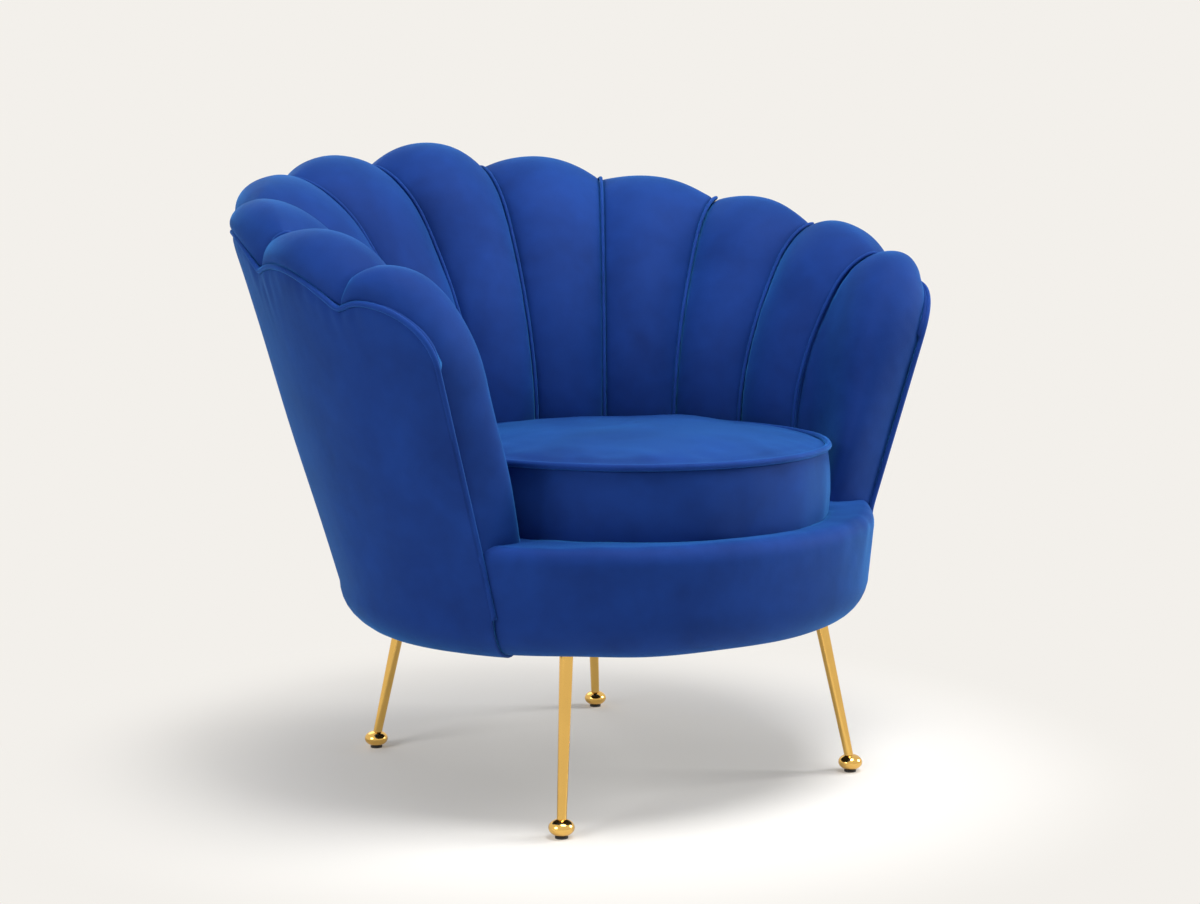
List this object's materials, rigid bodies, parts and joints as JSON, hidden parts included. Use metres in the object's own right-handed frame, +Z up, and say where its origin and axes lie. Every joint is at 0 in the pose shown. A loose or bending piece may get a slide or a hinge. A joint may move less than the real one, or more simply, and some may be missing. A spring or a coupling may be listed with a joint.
{
  "type": "scallop back tub chair",
  "caption": "Round upholstered tub chair with a scalloped channelled back that rolls over the rim, loose round piped cushion, and splayed tapered metal legs on ball feet.",
  "frame": {"origin": "on the floor under the middle of the chair's outline", "axes": "+Z up, the sitter faces -Y, +X to the right when seen from the front along +Y"},
  "size_m": [0.8602, 0.7712, 0.7855],
  "materials": {
    "velvet": "royal blue velvet with a soft pile sheen",
    "piping": "velvet covered piping cord",
    "gold_metal": "polished gold plated steel",
    "plate_steel": "zinc plated steel",
    "frame_wood": "birch plywood, unfinished",
    "webbing": "woven jute webbing",
    "deck_felt": "covered felt pad",
    "foam": "upholstery foam",
    "dust_cloth": "non-woven black cloth",
    "glide_plastic": "matt black nylon"
  },
  "bodies": {
    "chair_frame": {"channel_01": "velvet", "channel_02": "velvet", "channel_03": "velvet", "channel_04": "velvet", "channel_05": "velvet", "channel_06": "velvet", "channel_07": "velvet", "channel_08": "velvet", "channel_09": "velvet", "channel_10": "velvet", "channel_11": "velvet", "outer_back_panel": "velvet", "front_apron": "velvet", "channel_piping": "piping", "rim_piping": "piping", "back_rib_01": "frame_wood", "back_rib_02": "frame_wood", "back_rib_03": "frame_wood", "back_rib_04": "frame_wood", "back_rib_05": "frame_wood", "back_rib_06": "frame_wood", "back_rib_07": "frame_wood", "back_rib_08": "frame_wood", "back_rib_09": "frame_wood", "back_rib_10": "frame_wood", "base_board": "frame_wood", "seat_ring": "frame_wood", "front_rail": "frame_wood", "base_ribs": "frame_wood", "top_rail": "frame_wood", "arm_post_left": "frame_wood", "arm_post_right": "frame_wood", "inner_back_board": "frame_wood", "webbing_front_to_back": "webbing", "webbing_side_to_side": "webbing", "seat_deck_pad": "deck_felt", "dust_cover": "dust_cloth", "leg_front_left": "gold_metal", "ball_foot_front_left": "gold_metal", "glide_front_left": "glide_plastic", "leg_plate_front_left": "plate_steel", "leg_front_right": "gold_metal", "ball_foot_front_right": "gold_metal", "glide_front_right": "glide_plastic", "leg_plate_front_right": "plate_steel", "leg_rear_left": "gold_metal", "ball_foot_rear_left": "gold_metal", "glide_rear_left": "glide_plastic", "leg_plate_rear_left": "plate_steel", "leg_rear_right": "gold_metal", "ball_foot_rear_right": "gold_metal", "glide_rear_right": "glide_plastic", "leg_plate_rear_right": "plate_steel", "leg_plate_screws": "plate_steel", "leg_studs": "plate_steel"},
    "seat_cushion": {"cushion_cover": "velvet", "cushion_foam": "foam", "cushion_top_piping": "piping", "cushion_bottom_piping": "piping"}
  },
  "joints": [
    {"name": "cushion_lift", "type": "slide", "parent": "chair_frame", "child": "seat_cushion", "axis": [0, 0, 1], "range_m": [0, 0.45]}
  ]
}
